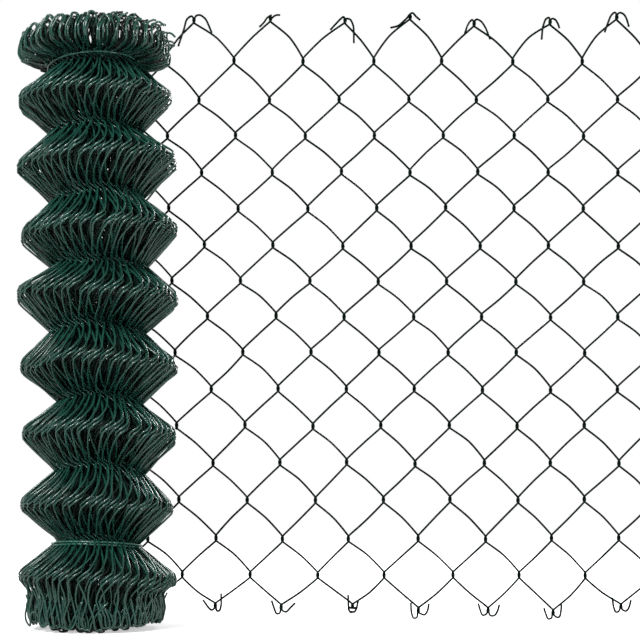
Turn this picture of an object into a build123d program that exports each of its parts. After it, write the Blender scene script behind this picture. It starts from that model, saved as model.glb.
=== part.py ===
from build123d import *
from math import cos, pi, sin
import os

# Wire: green PVC over a steel core. All sizes are in millimetres.
wire_diameter = 2.1
wire_sides = 4
hook_clearance = 0.5

# Flat stretch. A row is a height at which neighbouring wires hook into one another.
row_rise = 49.6
row_steps = 16
column_pitch = 46.3
first_column_x = -4.0
stretch_wires = 16
twist_height = 6.4

# Selvage: every wire end crosses its neighbour, arches over and droops beside it.
arch_width = 4.0
arch_height = 4.2
tail_reach = 18.0
tail_drop = 13.0
floor_gap = 12.4

# Pressed roll. The mesh is folded like a concertina, and the folds stand at uneven heights.
roll_radius = 102.5
foot_waist_radius = 58.5
head_waist_radius = 64.0
waist_heights = (112.0, 206.0, 294.0, 384.0, 462.0, 549.5, 636.0, 715.0)
foot_fold_height = 68.0
head_fold_rise = 31.0
foot_knuckle_radius = 86.0
foot_skirt_height = 44.0
head_knuckle_radius = 90.0
head_knuckle_rise = 26.0
tie_land = 7.0

# Every ridge is a rounded belly, which reaches further up than down.
belly_above = 15.0
belly_below = 9.0

# The turns of the roll show as rings on both ends, every second one set back, round an open core.
turns = 5
turn_spacing = 10.0
ring_depth = 5.0
bore_radius = 24.0
bore_lead = 20.0
seat_clearance = 0.25

# Tie wires, drawn tight round the first and the last waist, with the twisted ends at the back.
tie_diameter = 2.4
tie_sides = 5
tie_corners = 18
upper_tie_turns = 1
lower_tie_turns = 2
tie_end_length = 22.0
tie_end_angle = 135.0

# Heights and reaches that follow from the sizes above.
wire_radius = wire_diameter / 2
layer = (wire_diameter + hook_clearance) / 2
hook = (wire_diameter + hook_clearance) / 2
half_twist = twist_height / 2
tail_layer = layer + wire_diameter + hook_clearance
foot_waist_height = waist_heights[0]
head_waist_height = waist_heights[-1]
head_fold_height = head_waist_height + head_fold_rise
roll_height = head_fold_height + head_knuckle_rise
last_column_x = first_column_x + stretch_wires * column_pitch
sheet_y = roll_radius + seat_clearance + tail_layer + wire_radius
back_y = sheet_y + tail_layer + wire_radius

# The origin is at the middle of the footprint, so the roll's axis lies off to the left.
axis_x = (roll_radius - last_column_x - hook - wire_radius) / 2
axis_y = (roll_radius - back_y) / 2

os.makedirs("parts", exist_ok=True)


# The roll: one turned solid with a folded outside, ringed ends and an open core.
def waist_radius_at(height):
    share = (height - foot_waist_height) / (head_waist_height - foot_waist_height)
    return foot_waist_radius + share * (head_waist_radius - foot_waist_radius)


def tied_waist(height):
    radius = waist_radius_at(height)
    return [(radius, height - tie_land / 2), (radius, height + tie_land / 2)]


# One end from the outside inwards: the outermost turn is the ring that the roll stands on.
def ringed_end(outer_radius, face_height, inward):
    points = []
    for turn in range(turns):
        level = face_height + inward * ring_depth * (turn % 2)
        rim_radius = outer_radius - turn * turn_spacing
        points += [(rim_radius, level), (rim_radius - turn_spacing, level)]
    return points + [(bore_radius, face_height + inward * bore_lead)]


def ridge(height):
    return [(roll_radius, height - belly_below), (roll_radius, height + belly_above)]


outline = [*reversed(ringed_end(foot_knuckle_radius, 0, 1)), (foot_knuckle_radius, foot_skirt_height)]
outline += [(roll_radius, foot_fold_height), *tied_waist(foot_waist_height)]
for lower, upper in zip(waist_heights, waist_heights[1:]):
    outline += ridge((lower + upper) / 2)
    outline += tied_waist(upper) if upper == head_waist_height else [(waist_radius_at(upper), upper)]
outline += [(roll_radius, head_fold_height), *ringed_end(head_knuckle_radius, roll_height, -1)]

with BuildPart() as mesh_roll:
    with BuildSketch(Plane.XZ):
        with BuildLine():
            Polyline(*outline, close=True)
        make_face()
    revolve(axis=Axis.Z)
mesh_roll.part = mesh_roll.part.moved(Location((axis_x, axis_y, 0)))
mesh_roll.part.label = "mesh_roll"
export_step(mesh_roll.part, "parts/mesh_roll.step")


# A tie: soft wire wrapped round a waist, its ends twisted together and left standing in the fold.
def tie_wire(name, height, wraps):
    tie_radius = tie_diameter / 2
    loop_radius = (waist_radius_at(height) + seat_clearance + tie_radius) / cos(pi / tie_corners)
    corner_angles = [2 * pi * corner / tie_corners for corner in range(tie_corners)]
    with BuildPart() as tie:
        for wrap in range(wraps):
            lift = (wrap - (wraps - 1) / 2) * tie_diameter * 0.8
            with BuildLine(Plane((axis_x, axis_y, height + lift), x_dir=(1, 0, 0))):
                corners = [(loop_radius * cos(angle), loop_radius * sin(angle)) for angle in corner_angles]
                loop = Polyline(*corners, close=True)
            half_side = 0.5 / tie_corners
            with BuildSketch(Plane(loop @ half_side, z_dir=loop % half_side)):
                RegularPolygon(tie_radius, tie_sides)
            sweep(transition=Transition.RIGHT)
        outward = Vector(1, 0, 0).rotate(Axis.Z, tie_end_angle)
        with BuildSketch(Plane((axis_x, axis_y, height), x_dir=(0, 0, 1), z_dir=outward).offset(loop_radius)):
            SlotCenterToCenter(tie_radius, tie_diameter)
        extrude(amount=tie_end_length)
    tie.part.label = name
    export_step(tie.part, f"parts/{name}.step")


tie_wire("tie_wire_upper", head_waist_height, upper_tie_turns)
tie_wire("tie_wire_lower", foot_waist_height, lower_tie_turns)


# One wire of the flat stretch: a flattened spiral from the top selvage down to the bottom one.
# Strands that fall to the left lie in the front layer, strands that fall to the right in the back layer.
def wire_route(ends_left):
    low = floor_gap + wire_radius + arch_height + half_twist
    side = -1 if ends_left else 1
    end_x = -hook if ends_left else column_pitch + hook
    high = low + row_steps * row_rise
    route = [
        (end_x + side * tail_reach, side * tail_layer, high - tail_drop),
        (end_x + side * arch_width, side * tail_layer, high + half_twist + arch_height),
    ]
    for row in range(row_steps, -1, -1):
        at_left = ((row_steps - row) % 2 == 0) == ends_left
        turn_x = -hook if at_left else column_pitch + hook
        turn_side = -1 if at_left else 1
        height = low + row * row_rise
        route.append((turn_x, turn_side * layer, height + half_twist))
        route.append((turn_x, -turn_side * layer, height - half_twist))
    route += [
        (end_x + side * arch_width, -side * tail_layer, low - half_twist - arch_height),
        (end_x + side * tail_reach, -side * tail_layer, low + tail_drop),
    ]
    return route


for number in range(1, stretch_wires + 1):
    left_x = axis_x + first_column_x + (number - 1) * column_pitch
    with BuildPart() as spiral_wire:
        with BuildLine(Plane((left_x, axis_y + sheet_y, 0))):
            route = Polyline(*wire_route(ends_left=number % 2 == 0))
        with BuildSketch(Plane(route @ 0, z_dir=route % 0)):
            RegularPolygon(wire_radius, wire_sides)
        sweep(transition=Transition.RIGHT)
    spiral_wire.part.label = f"spiral_wire_{number:02d}"
    export_step(spiral_wire.part, f"parts/{spiral_wire.part.label}.step")
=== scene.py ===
# %% [markdown]
# # A pressed roll of chain-link fencing
# Chain-link mesh is a row of flattened wire spirals, each screwed into the one before it.
# For transport the mesh is folded like a concertina along its hooks and wound into a tight
# roll that stands on end. Here the end of the mesh is unrolled again, flat, to the right.
# Every wire is built as a real tube, because the gaps, the glints and the dark depth
# between the wires are what the eye reads as fencing. Lengths are in millimetres, and are
# turned to metres where Blender takes them.

# %% Frame
import bpy
import numpy as np
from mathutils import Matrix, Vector


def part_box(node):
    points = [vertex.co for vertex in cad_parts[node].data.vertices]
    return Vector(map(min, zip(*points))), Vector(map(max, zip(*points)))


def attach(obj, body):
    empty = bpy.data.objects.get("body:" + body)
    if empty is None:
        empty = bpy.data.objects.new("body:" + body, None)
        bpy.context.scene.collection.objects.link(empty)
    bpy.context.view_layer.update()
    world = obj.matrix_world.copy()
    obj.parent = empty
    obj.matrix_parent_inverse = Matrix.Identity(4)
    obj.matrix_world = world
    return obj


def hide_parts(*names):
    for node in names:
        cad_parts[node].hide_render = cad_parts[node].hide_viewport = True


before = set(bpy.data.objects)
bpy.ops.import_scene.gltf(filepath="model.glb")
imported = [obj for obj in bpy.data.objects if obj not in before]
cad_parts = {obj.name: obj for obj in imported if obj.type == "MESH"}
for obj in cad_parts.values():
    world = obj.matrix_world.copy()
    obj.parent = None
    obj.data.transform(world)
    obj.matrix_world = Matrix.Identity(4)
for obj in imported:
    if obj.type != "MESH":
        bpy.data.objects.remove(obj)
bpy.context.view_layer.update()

MM = 0.001
roll_low, roll_high = (np.array(corner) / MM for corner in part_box("mesh_roll"))
sheet_low, sheet_high = (np.array(corner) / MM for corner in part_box("spiral_wire_08"))
axis_x, axis_y = ((roll_low + roll_high) / 2)[:2]
sheet_y = (sheet_low[1] + sheet_high[1]) / 2
print("roll axis", axis_x.round(1), axis_y.round(1), "sheet plane", sheet_y.round(1))

# %% [markdown]
# ## Camera
# A product photo of a tall, flat thing is taken from far away with a long lens, and with the
# camera level, so that upright lines stay upright. The camera stands low and the frame is
# moved up with the lens shift, which keeps the rows of the flat mesh level. Three readings
# tie it to the photograph: the size of a pixel at the sheet, how far down the picture the
# camera's own height lies, and how far down the lowest hooks of the sheet lie.

# %% Camera
picture_width = 640
sensor_width = 36.0
camera_distance = 2000.0
camera_side = 287.0
sheet_mm_per_pixel = 1.353
horizon_pixel = 492.0
lowest_row_pixel = 605.8
lowest_row_height = 20.85

sheet_distance = camera_distance + sheet_y - axis_y
focal_pixels = sheet_distance / sheet_mm_per_pixel
camera_height = lowest_row_height + (lowest_row_pixel - horizon_pixel) * sheet_mm_per_pixel
camera_data = bpy.data.cameras.new("studio_camera")
camera_data.sensor_width = sensor_width
camera_data.lens = focal_pixels * sensor_width / picture_width
camera_data.shift_y = (horizon_pixel - picture_width / 2) / picture_width
camera = bpy.data.objects.new("studio_camera", camera_data)
bpy.context.collection.objects.link(camera)
camera.location = np.array([axis_x + camera_side, axis_y - camera_distance, camera_height]) * MM
camera.rotation_euler = (np.radians(90), 0, 0)
bpy.context.scene.camera = camera
print("lens", round(camera_data.lens, 1), "mm, camera height", round(camera_height), "mm")

# %% [markdown]
# ## Where each column of hooks stands
# The hooks between two neighbouring spirals form one column. Columns are counted from the
# free edge on the right. The first ones stand side by side in the flat sheet, the next few
# gather round the back of the roll, and the rest lie a few millimetres apart, turn within
# turn. They are laid one after another, because each step round the roll depends on the
# radius reached by then. `openness` is 1 where the mesh is flat and 0 where it is pressed.

# %% Columns
column_pitch, roll_pitch = 46.3, 6.3
stretch_columns, pressed_wires = 16, 416
ridge_radius, ridge_spacing = 97.5, 10.0
gather_angle = np.radians(80)
tangent_offset = 4.0
step_in_start, step_in_length = 0.7, 0.3

sheet_radius = sheet_y - axis_y
start_angle = np.pi / 2 + np.arctan(tangent_offset / sheet_radius)


def blend(first, second, share):
    return first + (second - first) * share


def smooth_step(value):
    share = np.clip(value, 0, 1)
    return share * share * (3 - 2 * share)


def turn_depth(angle):
    """Which turn the mesh lies in, from 0 outside: it steps in over the last part of a turn."""
    turn, part = np.divmod((angle - np.pi / 2) / (2 * np.pi), 1)
    return turn + smooth_step((part - step_in_start) / step_in_length)


angles = [start_angle]
while len(angles) <= pressed_wires:
    opening = 1 - smooth_step((angles[-1] - start_angle) / gather_angle)
    step = blend(roll_pitch, column_pitch, opening)
    angles.append(angles[-1] + step / (ridge_radius - ridge_spacing * turn_depth(angles[-1])))
column_angle = np.concatenate([np.full(stretch_columns, np.pi / 2), angles])
column_count = len(column_angle)
column_number = np.arange(column_count)
openness = 1 - smooth_step((column_angle - start_angle) / gather_angle)
wire_opening = (openness[:-1] + openness[1:]) / 2
depth = np.where(column_number < stretch_columns, 0, turn_depth(column_angle))
print("columns", column_count, "turns", depth.max().round(2))

# %% [markdown]
# ## Heights of the rows
# A hook sits at every second row of a column. In the roll the even rows are pressed in and
# make the waists, and the odd rows are pushed out and make the ridges. The roll was pressed
# by hand, so its folds stand at uneven heights; in the flat sheet the rows are nearly even.
# The roll has one more row than the sheet, at the floor.

# %% Rows
row_count = 18
waists = np.array([112.0, 206.0, 294.0, 384.0, 462.0, 549.5, 636.0, 715.0])
foot_knuckle, foot_ridge, head_knuckle = 3.0, 68.0, 762.0
ridges = np.concatenate([[foot_ridge], (waists[1:] + waists[:-1]) / 2])
roll_row_height = np.empty(row_count)
roll_row_height[0], roll_row_height[-1] = foot_knuckle, head_knuckle
roll_row_height[1:-1:2] = ridges
roll_row_height[2:-1:2] = waists
flat_row_height = np.array([-28.0, 20.9, 62.4, 111.5, 164.0, 214.1, 265.5, 314.2, 364.3, 412.3,
                            460.3, 509.0, 559.1, 607.8, 657.2, 705.8, 758.0, 814.0])
print("roll rows", roll_row_height.round(1))

# %% [markdown]
# ## Unevenness of the folds
# The waists are tightest under the two ties. No fold is quite level, round or centred
# either, and a roll without these faults looks like a turned spindle. They could be left to
# chance, but then the outline would be another roll's. So each list goes from the foot row
# to the head row: how far the row sways to the right, how much it swells, and how far its
# left and its right side rise.

# %% Unevenness
waist_radius_foot, waist_radius_head = 52.5, 57.5
tie_pinch = 4.0
tied_rows = [2, row_count - 2]
waist_radius = np.interp(roll_row_height, [waists[0], waists[-1]],
                         [waist_radius_foot, waist_radius_head])
waist_radius[tied_rows] -= tie_pinch
row_shift = np.array([0, 1.6, 2.5, 0.6, 4.5, 3.2, 4.5, 2.6, 1.9,
                      1.5, 5.8, 3.9, 1.9, 0.6, 0.6, -2.6, -1.3, 0])
row_swell = np.array([0, 0, 1.3, -1.9, -0.6, -0.6, -4.5, 0, 0.6,
                      2.8, -0.6, 0, -0.6, 1.9, -3.2, -2.6, 0, 0])
left_rise = np.array([0, 0, 0, -1.3, -3.9, -2.6, -3.9, -7.7, -6.4,
                      2.6, -3.9, -6.4, -5.1, -7.7, -5.1, -5.1, -5.0, 0])
right_rise = np.array([0, -6.0, -6.0, -5.1, -7.7, -5.1, -7.7, -5.0, -6.4,
                       0, 1.3, 5.0, 2.6, 7.0, -2.6, 3.9, 3.9, 0])
print("folds sway by", np.abs(row_shift).max(), "mm and swell by", np.abs(row_swell).max(), "mm at most")

# %% [markdown]
# ## Chance
# Each hook strays a little by itself, and neighbours share part of it, since hand-pressed
# mesh wanders in waves as well as at random. Purely random shifts would look like noise.
# The seed is fixed, so that every run gives the same roll.

# %% Stray shifts
rng = np.random.default_rng(11)
grid = (column_count, row_count)


def stray(own, shared, wave_columns):
    """A random shift in mm for every hook: `own` by itself, `shared` in waves of some columns."""
    own_shift = rng.normal(0, own, grid)
    knots = rng.normal(0, shared, (int(np.ceil(column_count / wave_columns)) + 2, row_count))
    place = np.arange(column_count) / wave_columns
    low = place.astype(int)
    return own_shift + blend(knots[low], knots[low + 1], smooth_step(place - low)[:, None])


print("hooks to place", column_count * row_count)

# %% [markdown]
# ## Hooks of the roll
# One array holds every hook: column by row. The radius of a hook alternates between ridge
# and waist and shrinks turn by turn. Its height follows the row: the folds are drawn up at
# the front of the roll, the wire ends at the foot spring up at its sides, and the loops at
# the head lie lower there. The rows under the ties are held, and stray less.

# %% Hooks of the roll
waist_spacing = 5.8
right_reach = 3.0
tied_radius_share, tied_height_share = 0.3, 0.4
bulge_height = [0, 60, 110, 240, 700, 715, 750]
bulge_rise = [0.0, 3.0, 6.0, 7.0, 3.0, 7.0, 0.0]
foot_spring = 9.0
head_angle = np.radians([0, 60, 180, 222, 300, 330, 350, 360])
head_lift = np.array([-6.0, 0.0, -6.0, -4.0, 1.0, -1.0, -6.0, -6.0])

is_ridge = (np.arange(row_count) % 2 == 1)[None, :]
is_tied = np.isin(np.arange(row_count), tied_rows)[None, :]
around = column_angle % (2 * np.pi)
left_share = np.clip(-np.cos(column_angle), 0, 1)[:, None]
right_share = np.clip(np.cos(column_angle), 0, 1)[:, None]


def front_lift(height, angle):
    """How much higher the rows stand at the front of the roll than at its sides."""
    return np.interp(height, bulge_height, bulge_rise) * np.clip(-np.sin(angle), 0, 1)


radius_stray = stray(own=1.2, shared=1.2, wave_columns=7)
height_stray = stray(own=1.5, shared=1.2, wave_columns=9)
side_stray = stray(own=1.0, shared=1.6, wave_columns=3)
radius_in_roll = np.where(is_ridge, ridge_radius - ridge_spacing * depth[:, None],
                          waist_radius[None, :] - waist_spacing * depth[:, None])
radius_in_roll = radius_in_roll + right_reach * is_ridge * right_share
radius_in_roll = radius_in_roll + np.where(is_tied, tied_radius_share, 1) * radius_stray + row_swell
height_in_roll = (roll_row_height[None, :] + front_lift(roll_row_height[None, :], column_angle[:, None])
                  + np.where(is_tied, tied_height_share, 1) * height_stray)
height_in_roll[:, 0] += foot_spring * np.cos(column_angle) ** 2
height_in_roll[:, -1] += np.interp(around, head_angle, head_lift)
height_in_roll += left_rise * left_share
height_in_roll += right_rise * right_share
pressed_share = 1 - openness[:, None]
side_shift = side_stray * pressed_share
print("radius of the roll's hooks", radius_in_roll.min().round(1), "to", radius_in_roll.max().round(1))

# %% [markdown]
# ## Hooks of the flat sheet
# In the sheet the columns stand at an even pitch, on a line that leaves the roll as a
# tangent. Unrolled mesh keeps some of its old shape: near the roll the columns lean, with
# the head to the left and the foot to the right, and the lean dies out along the sheet. The
# knuckles at the two edges were bent by hand, so each has a shift (right, up) of its own,
# listed from the roll onwards.

# %% Hooks of the sheet
flat_stray = 0.8
lean_column = [0, 2, 3, 5, 7, 9, 11, 13, 15, 16]
lean_mm = [14, 14, 14.5, 12, 8.5, 7.5, 8, 2.7, 0.7, 0]
upright_row, lean_rows = 9, 8
first_knuckle = 3
head_knuckle_shift = [(-4, -1), (4, 1), (9, -1), (3, 4), (-2, -5), (4, -3), (-2, 4)]
foot_knuckle_shift = [(-3, 0), (-4, -2), (2, -1), (0, -6), (0, -6), (1, -9), (4, -1)]

open_grid = openness[:, None]
hook_radius = blend(radius_in_roll, sheet_radius, open_grid)
hook_height = blend(height_in_roll, flat_row_height[None, :] + rng.normal(0, flat_stray, grid), open_grid)
sheet_number = stretch_columns - column_number
lean = np.interp(sheet_number, lean_column, lean_mm) * openness
lean_share = (np.arange(row_count) - upright_row) / lean_rows
hook_side = side_shift + lean[:, None] * lean_share[None, :] + rng.normal(0, flat_stray, grid) * open_grid
from_tangent = np.where(sheet_number > 0, sheet_number * column_pitch - tangent_offset, 0)
hook_side = hook_side - from_tangent[:, None]
for number, (above, below) in enumerate(zip(head_knuckle_shift, foot_knuckle_shift)):
    column = stretch_columns - first_knuckle - 2 * number
    for row, (right, rise) in ((row_count - 1, above), (1, below)):
        hook_side[column, row] -= right
        hook_height[column, row] = flat_row_height[row] + rise
print("the sheet reaches", from_tangent.max().round(1), "mm to the right of the roll's axis")

# %% [markdown]
# ## Every hook in space
# At each column the roll has three directions of its own: outward from the axis, onward
# along the mesh, and upward. Radius, side and height are laid out along them, and the sway
# of the pressed rows is added last.

# %% Hooks in space
outward = np.stack([np.cos(column_angle), np.sin(column_angle), np.zeros(column_count)], -1)
onward = np.stack([-np.sin(column_angle), np.cos(column_angle), np.zeros(column_count)], -1)
upward = np.array([0.0, 0.0, 1.0])
hooks = (np.array([axis_x, axis_y, 0])
         + outward[:, None] * hook_radius[..., None]
         + onward[:, None] * hook_side[..., None]
         + upward * hook_height[..., None])
hooks[:, :, 0] += row_shift * pressed_share
print("hooks", hooks.shape, "lowest", hooks[..., 2].min().round(1))

# %% [markdown]
# ## The shape of a hook
# A spiral turns round at every hook and passes through its neighbour's turn. In the flat
# sheet the two wires stand side by side for a few millimetres, each swinging from the front
# of the sheet to its back. In the roll a spiral stands edge-on: at a ridge its turn leans one
# way and at a waist the other, and the neighbour lies close beside it. Offsets are written
# as onward (along the mesh), outward and upward, for the start, middle and end of a turn
# that is followed upwards. `sign` is +1 where the wire reaches onward to its hook.

# %% Hook offsets
wire_radius, flat_wire_radius = 1.3, 1.4
flat_half_turn, flat_side, flat_thickness = 2.6, 1.2, 2.6
flat_end_side, flat_end_depth = 0.7, 0.6
ridge_lean_low, ridge_lean_high = -6.0, 7.5
ridge_low, ridge_high = -4.5, 5.5
waist_lean_low, waist_lean_high = 4.5, -4.5
waist_low, waist_high = -3.5, 3.0
turn_depth_low, turn_depth_high = 2.6, 3.6
tied_turn_share = 0.4
pair_side, pair_rise, pair_swing = 1.2, 1.6, 1.4


def turn_offsets(row, sign, opening):
    """Offsets (wires, 3 points, 3 axes) of one turn for wires with the given sign and openness."""
    ridge = row % 2 == 1
    side_low, side_high = (ridge_lean_low, ridge_lean_high) if ridge else (waist_lean_low, waist_lean_high)
    low, high = (ridge_low, ridge_high) if ridge else (waist_low, waist_high)
    inward = (-1 if ridge else 1) * (tied_turn_share if row in tied_rows else 1)
    rise = -pair_rise if ridge else pair_rise
    one = np.ones_like(sign)
    pressed = np.stack([
        np.stack([side_low + sign * pair_side, inward * turn_depth_low + sign * pair_swing,
                  low + sign * rise], -1),
        np.stack([sign * pair_side, 0 * one, sign * rise], -1),
        np.stack([side_high + sign * pair_side, inward * turn_depth_high - sign * pair_swing,
                  high + sign * rise], -1)], 1)
    flat = np.stack([
        np.stack([sign * flat_side * flat_end_side, sign * flat_thickness * flat_end_depth,
                  -flat_half_turn * one], -1),
        np.stack([sign * flat_side, 0 * one, 0 * one], -1),
        np.stack([sign * flat_side * flat_end_side, -sign * flat_thickness * flat_end_depth,
                  flat_half_turn * one], -1)], 1)
    return blend(pressed, flat, opening[:, None, None])


def to_space(offsets, column):
    """Turns (onward, outward, upward) offsets at a column into x, y, z."""
    extra = (slice(None),) + (None,) * (offsets.ndim - 2)
    return (offsets[..., :1] * onward[column][extra] + offsets[..., 1:2] * outward[column][extra]
            + offsets[..., 2:] * upward)


print("turns of one wire", row_count, "each", 2 * flat_half_turn, "mm tall in the sheet")

# %% [markdown]
# ## Strands between the hooks
# Between two hooks the wire isn't straight. In the flat sheet the strands that fall to the
# right are bowed upwards a little, and at the two edges of the sheet all strands bow away
# from it; in the roll the springy strands belly out sideways. One middle point a strand is
# enough for this, because a smooth curve is laid through the points later.

# %% Strands
flat_bow_fall, flat_bow_rise, flat_bow_jitter = 2.6, 0.0, 0.7
head_bow, foot_bow, edge_bow_jitter = 4.0, -1.8, 1.4
edge_rows = (1, row_count - 2)
upper_belly, lower_belly, belly_jitter = 4.0, -3.0, 1.8
outward_jitter = 1.0


def strand_middle(start, end, row, wire, opening, falls):
    """The middle point of the strand that leaves row `row` upwards, for each wire."""
    count = len(wire)
    belly = upper_belly if row % 2 == 1 else lower_belly
    sideways = (belly + rng.normal(0, belly_jitter, count)) * (1 - opening)
    face = outward[wire]
    square = np.cross(face, end - start)
    square /= np.linalg.norm(square, axis=1, keepdims=True)
    square *= np.where(square[:, 2:] < 0, -1, 1)
    bow = np.where(falls, flat_bow_fall, flat_bow_rise) + rng.normal(0, flat_bow_jitter, count)
    if row in edge_rows:
        bow = rng.normal(foot_bow if row == 1 else head_bow, edge_bow_jitter, count)
    bow = bow * opening
    outwards = rng.normal(0, outward_jitter, count) * (1 - opening)
    return ((start + end) / 2 + onward[wire] * sideways[:, None] + face * outwards[:, None]
            + square * bow[:, None])


def wire_body(wire, first_row, last_row):
    """Control points of the wires between two rows, turn by turn, from low to high."""
    opening = wire_opening[wire]
    points = []
    for row in range(first_row, last_row + 1):
        at_own = (wire % 2) == (row % 2)
        column = np.where(at_own, wire, wire + 1)
        sign = np.where(at_own, -1.0, 1.0)
        turn = hooks[column, row][:, None] + to_space(turn_offsets(row, sign, opening), column)
        if points:
            points.append(strand_middle(points[-1], turn[:, 0], row - 1, wire, opening, ~at_own))
        points.extend([turn[:, 0], turn[:, 1], turn[:, 2]])
    return np.stack(points, 1)


print("strands bow by", flat_bow_fall, "mm in the sheet and", upper_belly, "mm in the roll")

# %% [markdown]
# ## Cut ends in the roll
# At the floor every spiral ends in a U that hooks its neighbour. At the head the last loops
# flare, and every wire end arches over its neighbour and droops; on the right they stick out
# as short stubs. The offsets are again onward, outward and upward, measured from the last
# hook place, in the order of the wire. Ends of a kind share one shape, and chance then
# shifts, twists and trims each of them: four hundred are too many to place by hand.

# %% Shapes of the roll's ends
foot_end = np.array([[8.0, -2.0, 34.0], [6.4, 1.0, 18.0], [4.9, 0.0, 7.0], [3.2, -0.8, 1.4],
                     [-3.2, -0.8, 1.4], [-4.9, 1.0, 6.5], [-5.6, 3.0, 16.0], [-6.0, 1.0, 34.0]])
foot_cross = 9.0 * np.array([-0.3, 0.4, 0.9, 1.0, 1.0, 1.0, 0.9, 0.3])
head_end = np.array([[-5.5, -18.0, -34.0], [-8.0, 7.0, -27.0], [-8.0, 8.5, -17.5], [-4.0, 5.0, -5.5],
                     [-1.2, 2.0, 0.2], [2.4, 0.0, 0.4], [4.8, -2.0, -4.5], [5.6, -6.0, -15.0]])
stub_end = np.array([[-5.5, -18.0, -34.0], [-8.0, 6.5, -27.0], [-8.0, 7.5, -17.5], [-4.0, 4.0, -5.5],
                     [-1.2, 3.0, 0.0], [1.6, 4.0, 1.4], [3.6, 6.0, 1.4], [5.2, 9.0, 1.0]])
arch_root = 3
foot_knuckle_radius, head_knuckle_radius = 83.0, 88.0
stub_angle = np.radians([0, 20, 60, 270, 320, 360])
stub_share = np.interp(around, stub_angle, [1, 0.9, 0, 0, 0.9, 1])
print("wires that end in a stub", round(stub_share[stretch_columns:].sum()))

# %% Ends of the roll's wires
point_jitter = np.array([0.5, 0.5, 0.4])
foot_jitter, head_jitter = np.array([4.5, 1.5, 1.0]), np.array([2.0, 1.5, 1.0])
cut_jitter, head_cut_share = np.array([3.0, 3.0, 5.0]), 0.6
arch_twist = np.radians(28)
open_squeeze = 0.8
lowest_centre, floor_unevenness = wire_radius + 0.15, 1.2


def pressed_ends(wire, shape, row, knuckle_radius, end_jitter):
    """Columns and places of the knuckles, the end points from there, and their squeeze."""
    opening = wire_opening[wire]
    column = np.where((wire % 2) == (row % 2), wire, wire + 1)
    radius = blend(knuckle_radius - ridge_spacing * depth[column], sheet_radius, opening)
    centre = (np.array([axis_x, axis_y, 0]) + outward[column] * radius[:, None]
              + upward * hooks[column, row][:, 2:])
    offsets = shape + rng.normal(0, 1, shape.shape) * point_jitter
    offsets = offsets + rng.normal(0, 1, (len(wire), 1, 3)) * end_jitter
    return column, centre, offsets, 1 - open_squeeze * opening


def foot_ends(wire):
    """From the cut end down, round the U at the floor and up again. Neighbours cross."""
    shape = np.repeat(foot_end[None], len(wire), 0)
    shape[..., 0] += np.where(wire % 2 == 0, 1, -1)[:, None] * foot_cross
    column, centre, offsets, squeeze = pressed_ends(wire, shape, 0, foot_knuckle_radius, foot_jitter)
    offsets[:, 0] += rng.normal(0, 1, (len(wire), 3)) * cut_jitter
    offsets[..., 1] *= squeeze[:, None]
    route = centre[:, None] + to_space(offsets, column)
    lowest = lowest_centre + rng.uniform(0, floor_unevenness, route.shape[:2])
    route[..., 2] = np.maximum(route[..., 2], lowest)
    return route


def head_ends(wire):
    """From the last waist out and up, over the arch to the cut end. On the right they stick out."""
    is_stub = rng.uniform(0, 1, len(wire)) < stub_share[wire]
    shape = np.where(is_stub[:, None, None], stub_end[None], head_end[None])
    column, centre, offsets, squeeze = pressed_ends(wire, shape, row_count - 1,
                                                    head_knuckle_radius, head_jitter)
    twist = rng.normal(0, arch_twist, len(wire))[:, None]
    root = offsets[:, arch_root:arch_root + 1, :2]
    arch = offsets[:, arch_root + 1:, :2] - root
    turned = np.stack([arch[..., 0] * np.cos(twist) - arch[..., 1] * np.sin(twist),
                       arch[..., 0] * np.sin(twist) + arch[..., 1] * np.cos(twist)], -1)
    offsets[:, arch_root + 1:, :2] = root + turned
    offsets[:, -1] += rng.normal(0, 1, (len(wire), 3)) * cut_jitter * head_cut_share
    offsets[..., 1] *= squeeze[:, None]
    return centre[:, None] + to_space(offsets, column)


print("points of an end", len(foot_end), "at the foot and", len(head_end), "at the head")

# %% [markdown]
# ## Cut ends of the flat mesh
# These ends are bent by hand, and no two are alike. Each entry gives the end of the left
# wire, which arches over to the right, and of the right wire, which arches over to the left,
# as (right, up) from the knuckle in millimetres. The eight at the head and the eight at the
# foot that stand out against the white are each followed, from the roll onwards.

# %% Flat ends
head_hooks = [
    ([(3, 7), (8, 8), (15, 3), (24, -16)], [(-3, 5), (-9, 1), (-13, -12), (-21, -36)]),
    ([(2, 2), (4, 4), (8, 6), (13, 6)], [(1, 4), (-4, 1), (-9, -6), (-15, -12)]),
    ([(3, 3), (7, 2), (11, -6), (12, -30)], [(-2, 4), (-5, 2), (-11, -4), (-20, -14)]),
    ([(-1, 3), (3, 6), (8, 1), (14, -4)], [(-4, -2), (-9, -7), (-16, -13), (-27, -16)]),
    ([(3, 6), (9, 4), (15, -4), (22, -21)], [(-3, 4), (-7, 0), (-10, -6), (-13, -15)]),
    ([(3, 5), (7, 4), (11, -2), (13, -8)], [(-2, 5), (-6, 3), (-10, -7), (-12, -25)]),
    ([(4, 6), (10, 4), (14, -3), (17, -13)], [(-3, 5), (-8, 1), (-12, -8), (-17, -22)]),
    ([(3, 6), (8, 4), (11, -4), (14, -15)], [(-4, 4), (-9, 0), (-14, -7), (-20, -16)]),
]
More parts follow.
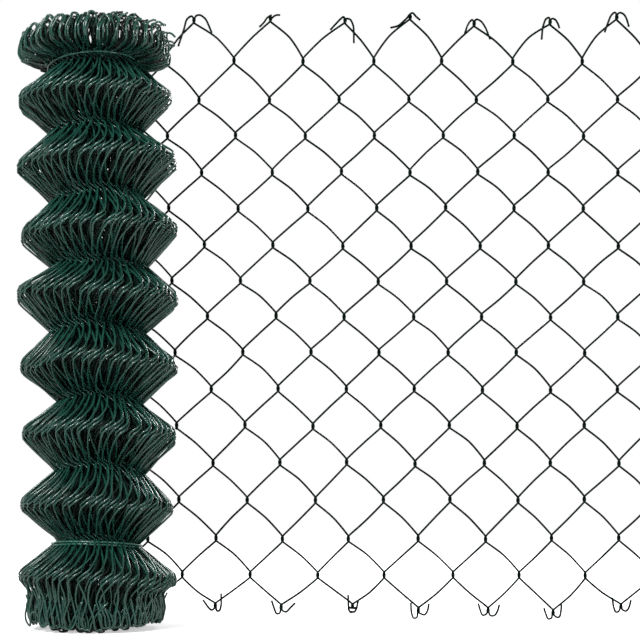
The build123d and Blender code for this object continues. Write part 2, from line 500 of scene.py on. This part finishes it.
foot_hooks = [
    ([(3, -7), (6, -6), (8, 1), (8, 17)], [(-2, -4), (-5, -6), (-9, -3), (-17, 8)]),
    ([(3, -5), (7, -6), (12, -1), (19, 6)], [(-2, -8), (-6, -9), (-9, -3), (-13, 9)]),
    ([(5, -1), (3, -7), (-4, -6), (-6, 16)], [(-5, -1), (-3, -8), (4, -6), (8, 9)]),
    ([(4, -5), (8, -6), (12, -1), (14, 9)], [(-2, -10), (-6, -11), (-9, -4), (-10, 10)]),
    ([(3, -7), (8, -7), (12, -2), (15, 8)], [(-3, -6), (-7, -7), (-10, -1), (-13, 9)]),
    ([(4, -6), (8, -6), (10, 0), (11, 11)], [(-2, -8), (-6, -9), (-9, -3), (-12, 6)]),
    ([(3, -5), (6, -6), (10, -2), (13, 9)], [(-3, -7), (-6, -8), (-9, -2), (-11, 12)]),
    ([(3, -6), (8, -5), (11, -1), (14, 8)], [(-3, -5), (-8, -6), (-11, -1), (-14, 8)]),
]
layer_shares = [0.9, 1.1, 1.1, 1.2]


def flat_end(column, right_side, up):
    """The end points of one flat wire at the knuckle of `column`, from the knuckle to the cut."""
    hook_list = head_hooks if up else foot_hooks
    knuckle = min(max((sheet_number[column] - first_knuckle) // 2, 0), len(hook_list) - 1)
    bends = hook_list[knuckle][0 if right_side else 1]
    row = row_count - 1 if up else 1
    back = flat_thickness if right_side == up else -flat_thickness
    return [hooks[column, row] + np.array([right, back * share, rise])
            for (right, rise), share in zip(bends, layer_shares)]


def stretch_body(wire):
    """The whole route of one flat wire, from its cut end at the foot to the one at the head."""
    body = wire_body(np.array([wire]), 1, row_count - 1)[0]
    right_side = wire % 2 == 1
    column = wire if right_side else wire + 1
    low = flat_end(column, right_side, up=False)[::-1]
    high = flat_end(column, right_side, up=True)
    return np.concatenate([low, body, high])


print("flat ends", len(head_hooks), "at the head and", len(foot_hooks), "at the foot")

# %% [markdown]
# ## Smooth curves
# Wire bends in smooth curves, so a curve is laid through the control points. This could be
# done with Blender's own curve objects, but here all wires go through one array operation,
# which is far quicker than several hundred objects, and each wire keeps its bends close to
# its hooks.

# %% Smooth curves
handle_share = 1.3
fewest_end_rings, most_rings = 3, 8


def smooth_curve(control, ring_gap, fine_ends):
    """Points (wires, rings, 3) of smooth curves through control points (wires, points, 3).

    A long strand next to a short turn gets a short handle, so that it bends close to the hook.
    The first and last `fine_ends` spans are the round hooks, and get three rings at least.
    """
    chord = np.diff(control, axis=1)
    length = np.linalg.norm(chord, axis=2, keepdims=True)
    speed = chord / length
    tangent = np.empty_like(control)
    tangent[:, 0], tangent[:, -1] = speed[:, 0], speed[:, -1]
    before, after = length[:, :-1], length[:, 1:]
    tangent[:, 1:-1] = (speed[:, 1:] * before + speed[:, :-1] * after) / (before + after)
    spans = control.shape[1] - 1
    pieces = []
    for span in range(spans):
        size = length[:, span]
        reach_in = np.minimum(size, handle_share * length[:, max(span - 1, 0)])
        reach_out = np.minimum(size, handle_share * length[:, min(span + 1, spans - 1)])
        is_end = span < fine_ends or span >= spans - fine_ends
        fewest_rings = fewest_end_rings if is_end else 1
        rings = int(np.clip(np.round(np.median(size) / ring_gap), fewest_rings, most_rings))
        for share in np.arange(rings) / rings:
            s2, s3 = share ** 2, share ** 3
            pieces.append((2 * s3 - 3 * s2 + 1) * control[:, span]
                          + (s3 - 2 * s2 + share) * reach_in * tangent[:, span]
                          + (3 * s2 - 2 * s3) * control[:, span + 1]
                          + (s3 - s2) * reach_out * tangent[:, span + 1])
    pieces.append(control[:, -1])
    return np.stack(pieces, 1)


print("rings in a span, at most", most_rings)

# %% [markdown]
# ## Tubes
# A ring of corners is carried along each curve without twisting, and neighbouring rings are
# joined with four-sided faces. Both cuts are closed and flat. The first and last ring are
# smaller than the tube: between them and the tube's rim lies the cut plastic, and their face
# is the cut end of the steel core, a small bright disc.

# %% Tubes
core_share = 0.62
ring_start = np.array([0.3, 0.9, 0.31])


def tube_rings(path, radius, sides):
    """Corners (wires, rings, sides, 3) of tubes along the paths, with the core's ring at each cut."""
    direction = np.gradient(path, axis=1)
    direction /= np.linalg.norm(direction, axis=2, keepdims=True)
    normal = np.empty_like(path)
    start = np.cross(direction[:, 0], ring_start)
    normal[:, 0] = start / np.linalg.norm(start, axis=1, keepdims=True)
    for ring in range(1, path.shape[1]):
        carried = normal[:, ring - 1]
        along = direction[:, ring]
        carried = carried - along * (carried * along).sum(1, keepdims=True)
        normal[:, ring] = carried / np.linalg.norm(carried, axis=1, keepdims=True)
    across = np.cross(direction, normal)
    turn = np.arange(sides) * 2 * np.pi / sides
    corner = (np.cos(turn)[:, None] * normal[:, :, None] + np.sin(turn)[:, None] * across[:, :, None])
    tube = path[:, :, None] + radius * corner
    core_start = path[:, :1, None] + core_share * radius * corner[:, :1]
    core_end = path[:, -1:, None] + core_share * radius * corner[:, -1:]
    return np.concatenate([core_start, tube, core_end], 1)


def tube_mesh(name, control, radius, sides, ring_gap, fine_ends=0):
    """One mesh of closed tubes along the curves through the control points, and its triangles."""
    rings = tube_rings(smooth_curve(control, ring_gap, fine_ends), radius, sides)
    wires, ring_total = rings.shape[:2]
    verts = rings.reshape(-1, 3) * MM
    index = np.arange(wires * ring_total * sides).reshape(wires, ring_total, sides)
    low, high = index[:, :-1], index[:, 1:]
    quads = np.stack([low, np.roll(low, -1, 2), np.roll(high, -1, 2), high], -1).reshape(-1, 4)
    caps = np.concatenate([index[:, 0, ::-1], index[:, -1]])
    corners = np.concatenate([quads.reshape(-1), caps.reshape(-1)])
    sizes = np.concatenate([np.full(len(quads), 4), np.full(len(caps), sides)])
    starts = np.concatenate([[0], np.cumsum(sizes)[:-1]])
    is_cap = np.arange(len(sizes)) >= len(quads)
    mesh = bpy.data.meshes.new(name)
    mesh.vertices.add(len(verts))
    mesh.vertices.foreach_set("co", verts.reshape(-1))
    mesh.loops.add(len(corners))
    mesh.loops.foreach_set("vertex_index", corners.astype(np.int32))
    mesh.polygons.add(len(sizes))
    mesh.polygons.foreach_set("loop_start", starts.astype(np.int32))
    mesh.polygons.foreach_set("loop_total", sizes.astype(np.int32))
    mesh.polygons.foreach_set("use_smooth", ~is_cap)
    mesh.polygons.foreach_set("material_index", is_cap.astype(np.int32))
    mesh.update(calc_edges=True)
    mesh.validate()
    piece = bpy.data.objects.new(name, mesh)
    bpy.context.collection.objects.link(piece)
    triangles = int((sizes - 2).sum())
    print(name, "wires", wires, "triangles", triangles)
    return piece, triangles


print("steel core", round(2 * core_share * wire_radius, 2), "mm in a wire of", 2 * wire_radius, "mm")

# %% [markdown]
# ## Colour helpers
# Colours are written as a designer would write them, in sRGB hex, and turned to the linear
# values that Blender's shaders work with. One helper adds a node, fills its sockets or
# properties and wires it up, so that a material reads as a short list.

# %% Colour and node helpers
def linear(hex_colour):
    values = [int(hex_colour[i:i + 2], 16) / 255 for i in (1, 3, 5)]
    return tuple(v / 12.92 if v <= 0.04045 else ((v + 0.055) / 1.055) ** 2.4 for v in values) + (1.0,)


def add_node(tree, kind, settings=None, links=None):
    """Adds a node; `settings` sets sockets or properties, and `links` says what feeds a socket."""
    node = tree.nodes.new(kind)
    for key, value in (settings or {}).items():
        if isinstance(key, int) or key in node.inputs:
            node.inputs[key].default_value = value
        else:
            setattr(node, key, value)
    for key, source in (links or {}).items():
        tree.links.new(source, node.inputs[key])
    return node


print("linear value of middle grey", round(linear("#808080")[0], 3))

# %% [markdown]
# ## PVC-coated steel wire
# Fence wire is drawn steel that ran through a bath of dark green PVC. The coat is smooth and
# satin-glossy: round wires catch a thin bright line of light each, which is what separates
# one dark wire from the next. The colour drifts a little from wire to wire, with patches some
# 25 mm long, because the coat isn't equally thick everywhere. Four finishes share the one
# recipe: the outer coat, the tie wire's, and two darker copies of the coat that are painted
# shade, one for the turns deep in the roll and one for the flat wires seen against white.

# %% Material of the coated wire
drift_length = 25.0
pvc_ior = 1.53


def coated_wire(name, dark, light, roughness, shine):
    material = bpy.data.materials.new(name)
    material.use_nodes = True
    tree = material.node_tree
    shader = tree.nodes["Principled BSDF"]
    place = add_node(tree, "ShaderNodeTexCoord")
    drift = add_node(tree, "ShaderNodeTexNoise", {"Scale": 1 / (drift_length * MM), "Detail": 2.0},
                     {"Vector": place.outputs["Object"]})
    tint = add_node(tree, "ShaderNodeMix", {"data_type": "RGBA"}, {"Factor": drift.outputs["Fac"]})
    dark_socket, light_socket = [socket for socket in tint.inputs if socket.type == "RGBA"]
    dark_socket.default_value = linear(dark)
    light_socket.default_value = linear(light)
    tinted = [socket for socket in tint.outputs if socket.type == "RGBA"][0]
    tree.links.new(tinted, shader.inputs["Base Color"])
    shader.inputs["Roughness"].default_value = roughness
    shader.inputs["IOR"].default_value = pvc_ior
    shader.inputs["Specular IOR Level"].default_value = shine
    return material


# Outer turns of the roll: a cold dark green, with a crisp line of light down every wire.
coat = coated_wire("pvc_coated_steel_wire", "#0D2F26", "#1F5246", 0.23, 0.6)
# Turns inside the roll: the coat painted nearly black and duller, as painted shade, so that the gaps keep
# their depth.
inner_coat_painted_shade = coated_wire("pvc_coated_steel_wire_inside_painted_shade", "#05140F", "#0D2620", 0.35, 0.25)
# Flat sheet: the coat painted near black, as painted shade, and almost without gloss, because a glossy
# wire in a white room would look grey; each wire reads as a thin green-black line.
flat_coat_painted_shade = coated_wire("pvc_coated_steel_wire_of_the_sheet_painted_shade", "#010603", "#051C11", 0.35, 0.05)
# Ties: a lighter and glossier green, which draws one clear line across the dark waist.
tie_coat = coated_wire("pvc_coated_tie_wire", "#205446", "#2B6858", 0.26, 0.8)
print("coated wires", [material.name for material in (coat, inner_coat_painted_shade, flat_coat_painted_shade, tie_coat)])

# %% [markdown]
# ## Cut steel
# Where a wire is cut, the drawn steel core shows inside the plastic. Sheared steel is grey
# and half dull: it gives each wire end a small pale dot, which tells that this is coated
# wire and not a plastic cord.

# %% Material of the cut core
# A pale grey dot at every wire end: metallic, and roughened by the cutter.
steel = bpy.data.materials.new("cut_steel_core")
steel.use_nodes = True
steel_shader = steel.node_tree.nodes["Principled BSDF"]
steel_shader.inputs["Base Color"].default_value = linear("#8C8F8E")
steel_shader.inputs["Metallic"].default_value = 1.0
steel_shader.inputs["Roughness"].default_value = 0.45


def finish_piece(piece, coating, nodes):
    piece.data.materials.append(coating)
    piece.data.materials.append(steel)
    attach(piece, "root")
    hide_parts(*nodes)


print("core", steel.name)

# %% [markdown]
# ## The wires of the roll
# The outer turn is what the eye reads, so its wires get the smoothest curves. The turns
# inside it are seen only through gaps and at the ends, and take fewer corners and rings.
# Each band below has its name, first and last turn, sides of a tube, millimetres between
# two rings, and how many spans at each end are made fine.

# %% Roll wires
total_triangles = 0
wire_number = np.arange(column_count - 1)
wire_turn = (column_angle[:-1] - np.pi / 2) / (2 * np.pi)
pressed = (wire_number >= stretch_columns) & (wire_opening < 0.5)
gathering = (wire_number >= stretch_columns) & ~pressed


def pressed_route(wire):
    return np.concatenate([foot_ends(wire), wire_body(wire, 1, row_count - 2), head_ends(wire)], 1)


roll_route = pressed_route(wire_number[pressed])
roll_turn = wire_turn[pressed]
bands = [("roll_outer_turn_back", 0.0, 0.5, 6, 8.0, 6), ("roll_outer_turn_front", 0.5, 1.05, 8, 8.0, 6),
         ("roll_second_turn", 1.05, 2.0, 5, 16.0, 6), ("roll_third_turn", 2.0, 3.0, 5, 18.0, 0),
         ("roll_fourth_turn", 3.0, 4.0, 5, 18.0, 0), ("roll_core_turn", 4.0, 9.0, 5, 18.0, 0)]
# From the second turn inwards the wires take the coat painted nearly black, as painted shade.
for name, start, end, sides, ring_gap, fine_ends in bands:
    chosen = (roll_turn >= start) & (roll_turn < end)
    piece, triangles = tube_mesh(name, roll_route[chosen], wire_radius, sides, ring_gap, fine_ends)
    finish_piece(piece, coat if start < 1 else inner_coat_painted_shade, ["mesh_roll"])
    total_triangles += triangles

# %% [markdown]
# ## The wires of the flat stretch
# The flat wires stand alone against the white background, so each is its own piece with
# round tubes and fine steps. The few wires that gather behind the roll belong to the roll.

# %% Flat wires
gathered = np.stack([stretch_body(wire) for wire in wire_number[gathering]])
piece, triangles = tube_mesh("gathering_wires", gathered, wire_radius, 6, 8.0, 4)
finish_piece(piece, coat, ["mesh_roll"])
total_triangles += triangles
# The flat wires take the coat painted near black, as painted shade.
for wire in range(stretch_columns):
    route = stretch_body(wire)[None]
    number = stretch_columns - wire
    piece, triangles = tube_mesh(f"flat_wire_{number:02d}", route, flat_wire_radius, 8, 5.0, 4)
    finish_piece(piece, flat_coat_painted_shade, [f"spiral_wire_{number:02d}"])
    total_triangles += triangles

# %% [markdown]
# ## Tie wires
# Two thin tie wires hold the roll at its first and last waist. They are drawn tight by hand,
# so they climb and dip a little, and their ends are twisted together at the back. A plain
# ring would look like a hose clamp, so each tie is one wire: end, loop or loops, end.

# %% Tie wires
tie_radius, tie_lap, tie_jitter = 1.3, 3.3, 0.25
points_per_wrap = 26
twist_angle = np.radians(135)
twist_length, twist_start, twist_points, twist_half_turns = 20.0, 0.12, 9, 5


def tie_route(base_height, fall_right, radius, wraps):
    """Control points of a tie: once or twice round the roll, then a twisted pair of ends."""
    count = points_per_wrap * wraps + 1
    angle = twist_angle + np.linspace(0, 2 * np.pi * wraps, count)
    lap = np.linspace(0, wraps, count) - wraps / 2
    height = (base_height - fall_right * np.cos(angle) + front_lift(base_height, angle)
              + lap * tie_lap * (wraps > 1) + rng.normal(0, tie_jitter, count))
    size = radius + rng.normal(0, tie_jitter, count)
    loop = np.stack([axis_x + size * np.cos(angle), axis_y + size * np.sin(angle), height], -1)
    out = np.array([np.cos(twist_angle), np.sin(twist_angle), 0])
    side = np.array([-out[1], out[0], 0])
    root = np.array([axis_x, axis_y, base_height - fall_right * np.cos(twist_angle)]) + out * radius
    share = np.linspace(twist_start, 1, twist_points)
    ends = []
    for sign in (1, -1):
        phase = sign * np.pi / 2 + share * twist_half_turns * np.pi
        ends.append(root + out * share[:, None] * twist_length
                    + (np.cos(phase)[:, None] * upward + np.sin(phase)[:, None] * side) * tie_radius)
    return np.concatenate([ends[0][::-1], loop[1:-1], ends[1]])[None]


# Name, CAD node, height, fall to the right, radius, wraps, shift to the right.
ties = [("upper_tie", "tie_wire_upper", waists[-1] + 2.0, -4.0, waist_radius_head + 2.4, 1, -1.5),
        ("lower_tie", "tie_wire_lower", waists[0] - 6.3, 2.0, waist_radius_foot + 4.6, 2, 1.2)]
for name, node, height, fall, radius, wraps, shift in ties:
    route = tie_route(height, fall, radius, wraps) + np.array([shift, 0, 0])
    piece, triangles = tube_mesh(name, route, tie_radius, 8, 4.0)
    finish_piece(piece, tie_coat, [node])
    total_triangles += triangles
print("triangles in all", total_triangles)

# %% [markdown]
# ## Floor
# The photograph has a pure white ground with a soft shadow at the roll's foot. The floor is
# a pale matt sheet that takes the real shadow of the lamps. To the camera it also glows:
# half as bright as white close to the roll, where the shadow lies, and fully white further
# out, so that the ground is clean without any more light on the object.

# %% Floor
floor_size = 9000.0
shadow_radius, clean_radius, shadow_glow = 80.0, 240.0, 0.5

half = floor_size * MM / 2
floor_mesh = bpy.data.meshes.new("studio_floor")
floor_mesh.from_pydata([(-half, -half, 0), (half, -half, 0), (half, half, 0), (-half, half, 0)],
                       [], [(0, 1, 2, 3)])
floor = bpy.data.objects.new("studio_floor", floor_mesh)
bpy.context.collection.objects.link(floor)

# Pale matt card: it shows the shadow softly and mirrors nothing.
floor_material = bpy.data.materials.new("pale_studio_floor")
floor_material.use_nodes = True
floor_tree = floor_material.node_tree
floor_shader = floor_tree.nodes["Principled BSDF"]
floor_shader.inputs["Base Color"].default_value = linear("#F4F4F4")
floor_shader.inputs["Roughness"].default_value = 0.9
place = add_node(floor_tree, "ShaderNodeTexCoord")
from_roll = add_node(floor_tree, "ShaderNodeVectorMath",
                     {"operation": "DISTANCE", 1: (axis_x * MM, axis_y * MM, 0)},
                     {0: place.outputs["Object"]})
glow = add_node(floor_tree, "ShaderNodeMapRange",
                {"From Min": shadow_radius * MM, "From Max": clean_radius * MM,
                 "To Min": shadow_glow, "To Max": 1.0},
                {"Value": from_roll.outputs["Value"]})
rays = add_node(floor_tree, "ShaderNodeLightPath")
seen_glow = add_node(floor_tree, "ShaderNodeMath", {"operation": "MULTIPLY"},
                     {0: rays.outputs["Is Camera Ray"], 1: glow.outputs["Result"]})
white = add_node(floor_tree, "ShaderNodeEmission", {"Color": linear("#FFFFFF")},
                 {"Strength": seen_glow.outputs[0]})
lit_and_glowing = add_node(floor_tree, "ShaderNodeAddShader", None,
                           {0: floor_shader.outputs[0], 1: white.outputs[0]})
floor_tree.links.new(lit_and_glowing.outputs[0], floor_tree.nodes["Material Output"].inputs["Surface"])
floor_mesh.materials.append(floor_material)
print("floor", floor_size, "mm wide, glowing fully beyond", clean_radius, "mm")

# %% [markdown]
# ## White room
# Around the object is a white room. The camera sees it fully white. Glossy wires mirror it
# too, bright behind the object and faint in front, where a studio is dark; without the dark
# part every wire would turn grey. As a lamp the room is weak, so the green stays deep and
# the soft boxes shape the wires.

# %% World
room_light = 0.12
mirror_dark, mirror_dark_y, mirror_white_y = 0.06, -0.2, 0.5

world = bpy.data.worlds.new("white_studio")
bpy.context.scene.world = world
world.use_nodes = True
tree = world.node_tree
tree.nodes.clear()
rays = add_node(tree, "ShaderNodeLightPath")
lit = add_node(tree, "ShaderNodeBackground", {"Color": linear("#FFFFFF"), "Strength": room_light})
seen = add_node(tree, "ShaderNodeBackground", {"Color": linear("#FFFFFF"), "Strength": 1.0})
direct = add_node(tree, "ShaderNodeMath", {"operation": "MAXIMUM"},
                  {0: rays.outputs["Is Camera Ray"], 1: rays.outputs["Is Transmission Ray"]})
direction = add_node(tree, "ShaderNodeTexCoord")
axes = add_node(tree, "ShaderNodeSeparateXYZ", None, {"Vector": direction.outputs["Generated"]})
backdrop = add_node(tree, "ShaderNodeMapRange",
                    {"From Min": mirror_dark_y, "From Max": mirror_white_y,
                     "To Min": mirror_dark, "To Max": 1.0},
                    {"Value": axes.outputs["Y"]})
mirrored = add_node(tree, "ShaderNodeMath", {"operation": "MULTIPLY"},
                    {0: rays.outputs["Is Glossy Ray"], 1: backdrop.outputs["Result"]})
either = add_node(tree, "ShaderNodeMath", {"operation": "MAXIMUM"},
                  {0: direct.outputs[0], 1: mirrored.outputs[0]})
choose = add_node(tree, "ShaderNodeMixShader", None,
                  {0: either.outputs[0], 1: lit.outputs[0], 2: seen.outputs[0]})
add_node(tree, "ShaderNodeOutputWorld", None, {"Surface": choose.outputs[0]})
print("world", world.name, "lights the object at", room_light)

# %% [markdown]
# ## Lamps
# A large soft box high on the left draws the bright line down every wire. A narrow one on
# the right gives the far sides of the wires an edge, and one behind lights the loops at the
# head and the wires at the back. Places, aims and sizes are in metres and power in watts.

# %% Lamps
def soft_box(name, place, aim, size, power):
    data = bpy.data.lights.new(name, "AREA")
    data.shape, data.size, data.size_y, data.energy = "RECTANGLE", size[0], size[1], power
    lamp = bpy.data.objects.new(name, data)
    bpy.context.collection.objects.link(lamp)
    lamp.location = place
    towards = Vector(np.array(aim) - np.array(place))
    lamp.rotation_euler = towards.to_track_quat("-Z", "Y").to_euler()
    print(name, power, "W")


soft_box("key_soft_box", (-1.3, -2.0, 2.2), (-0.3, 0, 0.4), (1.0, 1.0), 102)
soft_box("side_soft_box", (1.6, -1.6, 0.9), (-0.3, 0, 0.4), (0.5, 1.4), 18)
soft_box("back_soft_box", (0.6, 2.2, 1.2), (-0.2, 0, 0.4), (0.8, 0.8), 30)
bpy.context.scene.view_settings.view_transform = "Standard"
